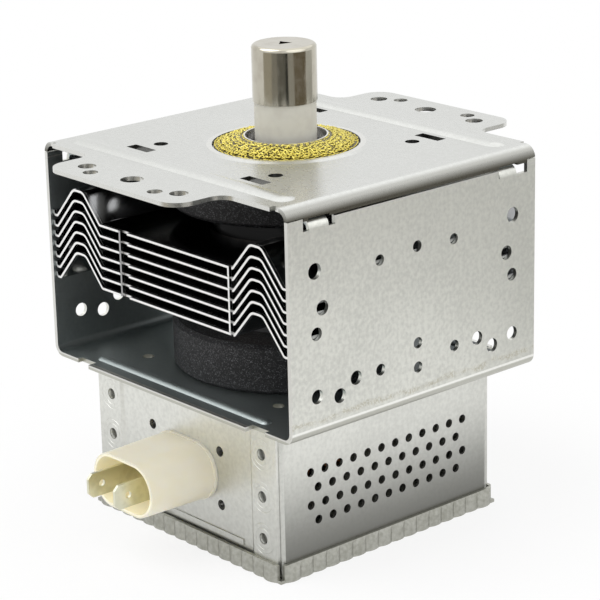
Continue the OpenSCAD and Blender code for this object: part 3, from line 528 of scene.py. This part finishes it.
@dataclass(frozen=True)
class BrightMetal:
    """Plated or bare metal: draw lines along an axis, hazy patches and faint stains."""

    name: str
    tone: Colour
    stain: Colour
    roughness: float
    rolling: Rolling = Rolling.UP
    lines: float = 0.004 * MM
    dents: float = 0.0

    def material(self) -> bpy.types.Material:
        """Build the metal's material."""
        s = Surface(self.name)
        line = s.noise(0.4 * MM, 3.0, self.rolling.value)
        haze = s.noise(3.5 * MM, 3.0)
        colour = s.tint(haze.smooth(0.42, 0.72), self.tone, self.stain)
        roughness = self.roughness + 0.07 * line + 0.1 * haze.smooth(0.45, 0.8)
        bent = s.relief(s.noise(5 * MM, 1.0, (1.0, 1.0, 0.3)), self.dents) if self.dents else None
        return s.finish(colour, roughness, 1.0, s.relief(line, self.lines, bent))


@dataclass(frozen=True)
class Bore:
    """The inside of a resin sleeve before a wall, where daylight comes through: two half rounds and a span."""

    span: float
    radius: float
    height: float
    wall: float
    light: Colour

    def mask(self, surface: Surface) -> Field:
        """Return 1 on the inner faces and 0 elsewhere."""
        across = (abs(surface.x) - self.span) | 0.0
        rise = surface.z - self.height
        return (across * across + rise * rise < self.radius ** 2) & (surface.y < -self.wall)


@dataclass(frozen=True)
class Moulded:
    """Moulded resin: an even sheen with a fine mould grain, warmer in patches, and daylight in its bore."""

    name: str
    tone: Colour
    warm: Colour
    roughness: float
    depth: float = 0.08
    bore: Optional[Bore] = None

    def material(self) -> bpy.types.Material:
        """Build the resin's material."""
        s = Surface(self.name)
        cloud = s.noise(6 * MM, 2.0)
        grain = s.noise(0.25 * MM, 2.0)
        flow = s.noise(1.2 * MM, 2.0, Rolling.DEPTH.value)
        colour = s.tint(0.5 * cloud.smooth(0.3, 0.75) + 0.12 * flow, self.tone, self.warm)
        roughness = self.roughness + 0.1 * (grain - 0.5) + 0.08 * (flow - 0.5)
        glow: dict[str, Any] = {}
        if self.bore:
            daylight = s.tint(self.bore.mask(s), (0.0, 0.0, 0.0), self.bore.light)
            glow = {"Emission_Color": daylight, "Emission_Strength": 1.0}
        return s.finish(colour, roughness, 0.0, s.relief(grain, 0.008 * MM), Subsurface_Weight=self.depth,
                        Subsurface_Scale=1.2 * MM, Subsurface_Radius=(1.0, 0.9, 0.65), **glow)


@dataclass(frozen=True)
class KnitWire:
    """Fine brass wire, with painted highlights on its crests and painted shade in the hollows."""

    name: str
    tone: Colour
    hollow_shade: Colour
    low: float
    high: float

    def material(self) -> bpy.types.Material:
        """Build the wire's material."""
        s = Surface(self.name)
        # Painted highlight on the crests and painted shade in the hollows.
        crest_highlight = s.z.smooth(self.low, self.high)
        glint = s.noise(0.7 * MM, 3.0)
        amount = 0.55 * crest_highlight + 0.45 * glint.smooth(0.35, 0.65)
        return s.finish(s.tint(amount, self.hollow_shade, self.tone), 0.20 + 0.18 * glint, 1.0,
                        s.relief(s.noise(0.1 * MM), 0.008 * MM))


@dataclass
class Assembly:
    """Base of the sub-assemblies, which hold their sizes and dress their solids."""

    nodes: Mapping[str, bpy.types.Object]

    def wear(self, material: bpy.types.Material, *names: str) -> None:
        """Put a material on solids of the frame.

        Args:
            material: the finish.
            names: the solids' node names.
        """
        for name in names:
            solid = self.nodes[name]
            if not solid.material_slots:
                solid.data.materials.append(material)
            for slot in solid.material_slots:
                slot.material = material
            LOG.info("%s wears %s", name, material.name)


@dataclass
class Yoke(Assembly):
    """The folded bracket, its top plate and the seat of the gasket."""

    half_width: float = 47.5 * MM
    face: float = 41.25 * MM
    underside: float = 40.0 * MM
    top: float = 98.2 * MM
    wall_top: float = 94.0 * MM
    ring: tuple[float, float] = (18.85 * MM, 20.3 * MM)
    sheet: float = 1.1 * MM
    skin: float = 0.03 * MM
    bend: float = 44.5 * MM
    slots: tuple[float, float] = (24 * MM, 41 * MM)

    def dress(self) -> None:
        """Give the steel sheets their finishes."""
        wall, face = self.half_width - self.sheet + self.skin, self.face - self.skin
        floor, step = self.underside + self.sheet - self.skin, self.underside + 2 * self.sheet
        under, over = self.top - self.sheet + self.skin, self.top - self.skin
        # Bracket: painted highlights on its cut edges, wall tops and lower bend, painted shade on its inner faces,
        # deepest towards the back, and below the lower bend.
        bracket = SheetMetal(
            "bracket_zinc", (0.76, 0.765, 0.712), (0.63, 0.635, 0.592), 0.36, Rolling.UP,
            edges=(Edge(Axis.Y, face, floor=self.underside + 0.62 * self.sheet),
                   Edge(Axis.Z, self.wall_top - 0.35 * MM, self.wall_top + self.skin)),
            scuff=Scuff(self.underside + 4.6 * MM, self.underside + 2.8 * MM, self.half_width - 0.4 * MM),
            insides=(Inside(wall, face, floor, self.top, (0.33, 0.385, 0.40), 0.75),
                     Inside(wall, face, floor, step, (0.06, 0.068, 0.07), 0.9, (2 * MM, 16 * MM))),
            fades=(PaintedShade(self.underside + 2.6 * MM, self.underside + 2.1 * MM, (0.50, 0.50, 0.45)),))
        # Plate: painted highlights on its cut edges and round the gasket hole, painted shade on its slot walls, its
        # underside and down its bent flanges.
        plate = SheetMetal(
            "plate_zinc", (0.63, 0.638, 0.615), (0.58, 0.587, 0.565), 0.29, Rolling.ACROSS, spread=0.04,
            grain=0.003 * MM,
            edges=(Edge(Axis.Z, under, over, within=self.bend), Edge(Axis.RADIUS, *self.ring)),
            slot_shade=(Edge(Axis.Z, under, over), Edge(Axis.RADIUS, *self.slots)),
            insides=(Inside(44 * MM, 1.0, 0.0, under, (0.12, 0.12, 0.115), 0.9),),
            fades=(PaintedShade(self.top - 0.05 * MM, self.top - 0.9 * MM, (0.40, 0.40, 0.375), self.bend, 0.0),
                   PaintedShade(self.top - 0.7 * MM, self.top - 3.2 * MM, (0.115, 0.11, 0.09))))
        seat = BrightMetal("seat_tin", (0.80, 0.79, 0.76), (0.66, 0.65, 0.62), 0.22)
        self.wear(bracket.material(), "yoke_bracket")
        self.wear(plate.material(), "yoke_top_plate")
        self.wear(seat.material(), "gasket_seat", "capacitor_plate")


@dataclass
class FinStack(Assembly):
    """The pressed cooling fins."""

    count: int = 7
    reach: float = 40.5 * MM
    spacer: float = 0.8 * MM
    skin: float = 0.03 * MM

    def dress(self) -> None:
        """Give every fin its finish."""
        notch = self.reach - self.spacer
        edges = (Edge(Axis.Y, self.reach - self.skin), Edge(Axis.Y, notch - self.skin, notch + self.skin))
        metal = RolledFin("fin_aluminium", *edges)
        # The top fin's flats are painted near black as shade.
        upper = RolledFin("upper_fin_painted_shade", *edges, painted_flat=(0.05, 0.05, 0.05))
        self.wear(metal.material(), *(f"fin_{i}" for i in range(1, self.count)))
        self.wear(upper.material(), f"fin_{self.count}")


@dataclass
class Magnets(Assembly):
    """The ferrite rings, and the cores of the chokes."""

    def dress(self) -> None:
        """Give the ferrite its finish."""
        ferrite = Sintered("ferrite", (0.003, 0.003, 0.004), (0.16, 0.16, 0.17), 0.58, 0.26 * MM)
        self.wear(ferrite.material(), "upper_magnet", "lower_magnet", "ferrite_core_1", "ferrite_core_2")


@dataclass
class Tube(Assembly):
    """The vacuum tube with its antenna."""

    def dress(self) -> None:
        """Give the tube's pieces their finishes."""
        copper = BrightMetal("copper", (0.80, 0.46, 0.32), (0.58, 0.28, 0.17), 0.26)
        sleeve = BrightMetal("tarnished_copper", (0.42, 0.37, 0.34), (0.30, 0.26, 0.24), 0.28)
        # Painted shade: the drawn iron is toned near black, as the pole pieces lie in shade under the magnets.
        iron = BrightMetal("drawn_iron", (0.17, 0.17, 0.175), (0.11, 0.11, 0.11), 0.34)
        nickel = BrightMetal("cap_nickel", (0.50, 0.475, 0.40), (0.46, 0.43, 0.36), 0.09, dents=0.12 * MM)
        heater = Sintered("tungsten", (0.22, 0.22, 0.23), (0.46, 0.46, 0.48), 0.5, 0.2 * MM, 1.0)
        ceramic = FiredCeramic("alumina")
        self.wear(sleeve.material(), "anode_cylinder")
        self.wear(copper.material(), "anode_vanes", "strap_rings", "antenna_lead", "exhaust_tube")
        self.wear(iron.material(), "upper_pole_piece", "lower_pole_piece", "antenna_seal_can", "stem_seal_can")
        self.wear(nickel.material(), "antenna_cap")
        self.wear(heater.material(), "filament", "upper_end_hat", "lower_end_hat", "centre_lead", "side_lead")
        self.wear(ceramic.material(), "antenna_ceramic", "stem_ceramic")


@dataclass
class FilterBox(Assembly):
    """The shielded box with its cover, chokes, capacitor and supply plug."""

    half_width: float = 36.5 * MM
    clinches: tuple[float, float] = (27.6 * MM, 32.6 * MM)
    clinch_depth: float = 0.75 * MM
    plug_span: float = 4.75 * MM
    plug_bore: float = 6.7 * MM
    plug_height: float = 20.8 * MM

    def dress(self) -> None:
        """Give the box and what it holds their finishes."""
        # Box: painted shade that darkens towards the bottom, less on the front and back, and on the floors of the
        # clinch pits.
        box = SheetMetal("box_zinc", (0.77, 0.775, 0.73), (0.68, 0.685, 0.645), 0.38, Rolling.UP, grain=0.024 * MM,
                         fades=(PaintedShade(36 * MM, 3 * MM, (0.19, 0.19, 0.175), self.half_width - 0.2 * MM, 0.42),),
                         pits=Pits(*self.clinches, self.half_width, self.clinch_depth))
        cover = SheetMetal("cover_zinc", (0.43, 0.43, 0.39), (0.32, 0.32, 0.28), 0.40, Rolling.UP, grain=0.03 * MM)
        bore = Bore(self.plug_span, self.plug_bore, self.plug_height, self.half_width + 0.5 * MM,
                    (0.16, 0.142, 0.082))
        housing = Moulded("housing_resin", (0.865, 0.825, 0.70), (0.85, 0.785, 0.60), 0.36, 0.6, bore)
        block = Moulded("block_resin", (0.45, 0.30, 0.14), (0.36, 0.22, 0.10), 0.4)
        tabs = BrightMetal("tab_tin", (0.74, 0.73, 0.58), (0.62, 0.61, 0.47), 0.30, Rolling.DEPTH)
        coil = BrightMetal("enamel_wire", (0.24, 0.11, 0.05), (0.17, 0.07, 0.03), 0.24)
        self.wear(box.material(), "filter_box")
        self.wear(cover.material(), "filter_box_cover")
        self.wear(housing.material(), "capacitor_housing")
        self.wear(block.material(), "capacitor_block")
        self.wear(tabs.material(), "terminal_tab_1", "terminal_tab_2", "stem_terminal_1", "stem_terminal_2")
        self.wear(coil.material(), "choke_coil_1", "choke_coil_2")


class NodeTool(Graph):
    """A geometry tree with named inputs, run once on an empty mesh and turned into a plain mesh."""

    def __init__(self, name: str) -> None:
        """Start an empty tree with one geometry output."""
        tree = bpy.data.node_groups.new(name, "GeometryNodeTree")
        tree.interface.new_socket("Geometry", in_out="OUTPUT", socket_type="NodeSocketGeometry")
        super().__init__(tree)
        self.values: dict[str, Union[int, float]] = {}

    def inputs(self, **values: Union[int, float]) -> dict[str, Field]:
        """Add the tree's named inputs.

        Args:
            values: name and value of each input, whole numbers or lengths.

        Returns:
            The inputs as fields, by name.
        """
        for name, value in values.items():
            kind = "NodeSocketInt" if isinstance(value, int) else "NodeSocketFloat"
            self.tree.interface.new_socket(name, in_out="INPUT", socket_type=kind)
        self.values = dict(values)
        entry = self.node("NodeGroupInput")
        return {name: Field(self, self.socket(entry.outputs, name)) for name in values}

    def build(self, name: str, geometry: bpy.types.NodeSocket, material: bpy.types.Material) -> bpy.types.Object:
        """Close the tree, run it and keep its result as a plain mesh.

        Args:
            name: the new piece's name.
            geometry: what the tree has made.
            material: the piece's finish.

        Returns:
            The piece, at the origin.
        """
        whole = self.node("GeometryNodeRealizeInstances", inputs={"Geometry": geometry}).outputs[0]
        dressed = self.node("GeometryNodeSetMaterial", inputs={"Geometry": whole, "Material": material}).outputs[0]
        self.node("NodeGroupOutput", inputs={"Geometry": dressed})
        carrier = bpy.data.objects.new(name, bpy.data.meshes.new(name + "_seed"))
        bpy.context.scene.collection.objects.link(carrier)
        modifier = carrier.modifiers.new(name, "NODES")
        modifier.node_group = self.tree
        for item in self.tree.interface.items_tree:
            if item.in_out == "INPUT" and item.name in self.values:
                modifier[item.identifier] = self.values[item.name]
        evaluated = carrier.evaluated_get(bpy.context.evaluated_depsgraph_get())
        mesh = bpy.data.meshes.new_from_object(evaluated)
        carrier.modifiers.remove(modifier)
        carrier.data = mesh
        mesh.name = name
        if material.name not in mesh.materials:
            mesh.materials.append(material)
        return carrier


@dataclass
class KnitGasket(Assembly):
    """The knitted brass ring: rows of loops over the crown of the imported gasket."""

    inner: float = 10.95 * MM
    outer: float = 18.2 * MM
    base: float = 98.2 * MM
    rise: float = 1.75 * MM
    wire: float = 0.20 * MM
    stitches: int = 44
    rows: int = 6
    steps: int = 12
    twist: float = 1.3
    swing: float = 0.82
    lean: float = 0.62
    stray_across: float = 1.5 * MM
    stray_up: float = 0.9 * MM
    layers: tuple[tuple[float, float], ...] = ((0.0, 0.10), (0.5, -0.06))

    def crown(self, radius: Field) -> Field:
        """Return the height of the gasket's crown at a radius."""
        share = (self.outer - radius) / (self.outer - self.inner)
        return self.base + self.rise * (share * (math.pi / 2)).sin()

    def knit(self, name: str, phase: float, lift: float, material: bpy.types.Material) -> bpy.types.Object:
        """Knit one layer of loops.

        Args:
            name: the layer's name.
            phase: turn of its stitches, as a share of one stitch.
            lift: height above the crown in millimetres.
            material: the wire's finish.

        Returns:
            The layer as a plain mesh.
        """
        tool = NodeTool(name)
        sizes = tool.inputs(Rows=self.rows, Points=self.stitches * self.steps, Wire=self.wire, Lift=lift * MM,
                            Pitch=(self.outer - self.inner) / self.rows)
        line = tool.node("GeometryNodeMeshLine", inputs={"Count": sizes["Rows"], "Offset": (0.0, 0.0, 0.0)})
        row = tool.node("GeometryNodeInputIndex").outputs[0]
        named = tool.node("GeometryNodeStoreNamedAttribute", {"data_type": "FLOAT", "domain": "POINT"},
                          {"Geometry": line.outputs[0], "Name": "row", "Value": row})
        circle = tool.node("GeometryNodeCurvePrimitiveCircle", inputs={"Resolution": sizes["Points"], "Radius": 1.0})
        copies = tool.node("GeometryNodeInstanceOnPoints",
                           inputs={"Points": named.outputs[0], "Instance": circle.outputs["Curve"]})
        rings = tool.node("GeometryNodeRealizeInstances", inputs={"Geometry": copies.outputs[0]})
        held = tool.node("GeometryNodeInputNamedAttribute", {"data_type": "FLOAT"}, {"Name": "row"})
        index = Field(tool, held.outputs["Attribute"])
        share = Field(tool, tool.node("GeometryNodeSplineParameter").outputs["Factor"])
        angle = 2 * math.pi * share
        beat = self.stitches * angle + (2 * math.pi * phase) + self.twist * index
        pitch = sizes["Pitch"]
        radius = self.inner + pitch * (index + 0.5) + self.swing * pitch * beat.cos()
        turn = angle + (self.lean / self.stitches) * (2 * beat).sin()
        wander = tool.node("ShaderNodeTexNoise", {"noise_dimensions": "2D"},
                           {"Vector": tool.point(36 * share, 3.7 * index + 11 * phase, 0.0), "Scale": 2.2})
        stray = Field(tool, wander.outputs["Fac"]) - 0.5
        radius = ((radius + self.stray_across * stray) | self.inner) & self.outer
        height = self.crown(radius) + sizes["Lift"] + 0.9 * self.wire * (2 * beat).cos() + self.stray_up * stray
        place = tool.point(radius * turn.cos(), radius * turn.sin(), height)
        loops = tool.node("GeometryNodeSetPosition", inputs={"Geometry": rings.outputs[0], "Position": place})
        section = tool.node("GeometryNodeCurvePrimitiveCircle", inputs={"Resolution": 5, "Radius": sizes["Wire"]})
        wires = tool.node("GeometryNodeCurveToMesh",
                          inputs={"Curve": loops.outputs[0], "Profile Curve": section.outputs["Curve"]})
        return tool.build(name, wires.outputs[0], material)

    def dress(self) -> None:
        """Knit the layers over the gasket's body."""
        # The gasket's solid body is painted near black as the shade between the knitted loops.
        body = KnitWire("brass_gap_shade", (0.09, 0.07, 0.012), (0.04, 0.03, 0.006), self.base, self.base + self.rise)
        wire = KnitWire("brass_wire", (0.78, 0.68, 0.178), (0.45, 0.365, 0.055),
                        self.base - 0.2 * MM, self.base + self.rise)
        self.wear(body.material(), "mesh_gasket")
        brass = wire.material()
        for number, (phase, lift) in enumerate(self.layers, 1):
            layer = self.knit(f"knit_layer_{number}", phase, lift, brass)
            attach(layer, "root")
            LOG.info("%s has %d faces", layer.name, len(layer.data.polygons))


@dataclass(frozen=True)
class Lamp:
    """A softbox that faces the object."""

    name: str
    place: Vector
    size: float
    power: float

    def hang(self, target: Vector) -> None:
        """Hang the softbox and turn it to a point."""
        data = bpy.data.lights.new(self.name, "AREA")
        data.shape = "DISK"
        data.size = self.size
        data.energy = self.power
        lamp = bpy.data.objects.new(self.name, data)
        lamp.location = self.place
        lamp.rotation_euler = (target - self.place).to_track_quat("-Z", "Y").to_euler()
        bpy.context.scene.collection.objects.link(lamp)


@dataclass(frozen=True)
class Lens:
    """The photograph's camera: where it stands, where it looks and how it frames a 600 by 600 picture."""

    azimuth: float = 49.233
    elevation: float = 17.568
    roll: float = -1.413
    distance: float = 612.10 * MM
    target: Vector = field(default_factory=lambda: Vector((0.02, 0.0, 61.17)) * MM)
    focal_px: float = 2369.29
    centre_px: tuple[float, float] = (289.67, 281.83)
    picture_px: float = 600.0
    sensor: float = 36.0

    def set_up(self) -> None:
        """Place the camera and make it the scene's."""
        a, e, r = (math.radians(v) for v in (self.azimuth, self.elevation, self.roll))
        back = Vector((math.sin(a) * math.cos(e), -math.cos(a) * math.cos(e), math.sin(e)))
        right = Vector((math.cos(a), math.sin(a), 0.0))
        up = back.cross(right)
        across = right * math.cos(r) + up * math.sin(r)
        above = up * math.cos(r) - right * math.sin(r)
        turned = Matrix((across, above, back)).transposed().to_4x4()
        data = bpy.data.cameras.new("camera")
        data.sensor_width = self.sensor
        data.lens = self.focal_px * self.sensor / self.picture_px
        data.shift_x = 0.5 - self.centre_px[0] / self.picture_px
        data.shift_y = self.centre_px[1] / self.picture_px - 0.5
        data.clip_start = 0.01
        camera = bpy.data.objects.new("camera", data)
        camera.matrix_world = Matrix.Translation(self.target + back * self.distance) @ turned
        bpy.context.scene.collection.objects.link(camera)
        bpy.context.scene.camera = camera


@dataclass(frozen=True)
class Card:
    """A dark card that lies before the camera and shows only in bright metal."""

    start: float
    end: float
    shade: Colour
    near: float = 0.17
    far: float = 1.4

    def lay(self, number: int, towards: float, height: float) -> None:
        """Lay the card on the floor, hidden from everything but reflections.

        Args:
            number: its place among the cards.
            towards: azimuth of the camera in degrees.
            height: height above the floor.
        """
        steps = max(2, round((self.end - self.start) / 4))
        turns = [math.radians(towards + self.start + (self.end - self.start) * i / steps) for i in range(steps + 1)]
        corners = [(r * math.sin(a), -r * math.cos(a), height) for a in turns for r in (self.near, self.far)]
        faces = [(2 * i, 2 * i + 1, 2 * i + 3, 2 * i + 2) for i in range(steps)]
        mesh = bpy.data.meshes.new(f"card_{number}")
        mesh.from_pydata(corners, [], faces)
        s = Surface(f"card_{number}")
        glow = s.node("ShaderNodeEmission", inputs={"Color": self.shade, "Strength": 1.0})
        s.node("ShaderNodeOutputMaterial", inputs={"Surface": glow.outputs[0]})
        mesh.materials.append(s.material)
        laid = bpy.data.objects.new(f"card_{number}", mesh)
        laid.visible_camera = laid.visible_diffuse = laid.visible_shadow = laid.visible_transmission = False
        bpy.context.scene.collection.objects.link(laid)


@dataclass
class Studio:
    """A white room with softboxes and dark cards that the bright metal mirrors."""

    ambient: float = 0.58
    floor_radius: float = 3.0
    shadow_radius: float = 0.13
    shadow: float = 0.19
    floor_sides: int = 96
    aim: float = 0.06
    card_gap: float = 0.1 * MM
    camera_side: float = Lens.azimuth
    cards: tuple[Card, ...] = (
        Card(-78, -46, (0.47, 0.44, 0.37)),
        Card(-46, -24, (0.30, 0.29, 0.26)),
        Card(-24, 4, (0.15, 0.147, 0.13)),
        Card(4, 13, (0.03, 0.03, 0.027)),
        Card(13, 34, (0.40, 0.39, 0.36)),
        Card(34, 78, (0.17, 0.14, 0.095), near=0.33),
        Card(82, 112, (0.50, 0.50, 0.48), far=0.6),
    )
    lamps: tuple[Lamp, ...] = (
        Lamp("key_softbox", Vector((-0.42, -0.72, 1.18)), 1.4, 8.8),
        Lamp("side_softbox", Vector((1.05, 0.10, 0.80)), 1.5, 4.4),
        Lamp("top_softbox", Vector((-0.10, 0.30, 1.25)), 2.6, 6.5),
    )

    @staticmethod
    def shown(graph: Graph) -> Field:
        """Return 1 for rays of the camera, of reflections and through glass."""
        rays = graph.node("ShaderNodeLightPath").outputs
        camera, glossy, clear = (Field(graph, rays[name])
                                 for name in ("Is Camera Ray", "Is Glossy Ray", "Is Transmission Ray"))
        return camera | glossy | clear

    def light(self) -> None:
        """Set the world and hang the softboxes."""
        world = bpy.data.worlds.new("white_room")
        world.use_nodes = True
        world.node_tree.nodes.clear()
        bpy.context.scene.world = world
        graph = Graph(world.node_tree)
        seen = self.shown(graph)
        room = graph.node("ShaderNodeBackground",
                          inputs={"Color": (1.0, 1.0, 1.0), "Strength": self.ambient + (1 - self.ambient) * seen})
        graph.node("ShaderNodeOutputWorld", inputs={"Surface": room.outputs[0]})
        for lamp in self.lamps:
            lamp.hang(Vector((0.0, 0.0, self.aim)))

    def floor(self) -> None:
        """Lay a pale round floor that keeps the shadow near the object and fades to white."""
        mesh = bpy.data.meshes.new("floor")
        turns = [2 * math.pi * i / self.floor_sides for i in range(self.floor_sides)]
        rim = [(self.floor_radius * math.cos(a), self.floor_radius * math.sin(a), 0.0) for a in turns]
        mesh.from_pydata(rim, [], [list(range(self.floor_sides))])
        s = Surface("floor_white")
        fade = s.radius.smooth(0.5 * self.shadow_radius, self.shadow_radius)
        far = (1 - self.shadow * (1 - fade)) * self.shown(s)
        matte = s.node("ShaderNodeBsdfDiffuse", inputs={"Color": (0.92, 0.92, 0.92)})
        white = s.node("ShaderNodeEmission", inputs={"Color": (1.0, 1.0, 1.0), "Strength": 1.0})
        both = s.node("ShaderNodeMixShader", inputs={0: far, 1: matte.outputs[0], 2: white.outputs[0]})
        s.node("ShaderNodeOutputMaterial", inputs={"Surface": both.outputs[0]})
        mesh.materials.append(s.material)
        laid = bpy.data.objects.new("floor", mesh)
        bpy.context.scene.collection.objects.link(laid)

    def set_up(self) -> None:
        """Build the whole studio."""
        self.light()
        self.floor()
        for number, card in enumerate(self.cards, 1):
            card.lay(number, self.camera_side, number * self.card_gap)
        bpy.context.scene.view_settings.view_transform = "Standard"


def main() -> None:
    """Dress every sub-assembly and set up the studio and the camera."""
    logging.basicConfig(level=logging.INFO, format="%(name)s: %(message)s")
    Lens().set_up()
    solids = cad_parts
    for assembly in (Yoke(solids), FinStack(solids), Magnets(solids), Tube(solids), FilterBox(solids),
                     KnitGasket(solids)):
        assembly.dress()
        LOG.info("%s is dressed", type(assembly).__name__)
    Studio().set_up()


if __name__ == "__main__":
    main()
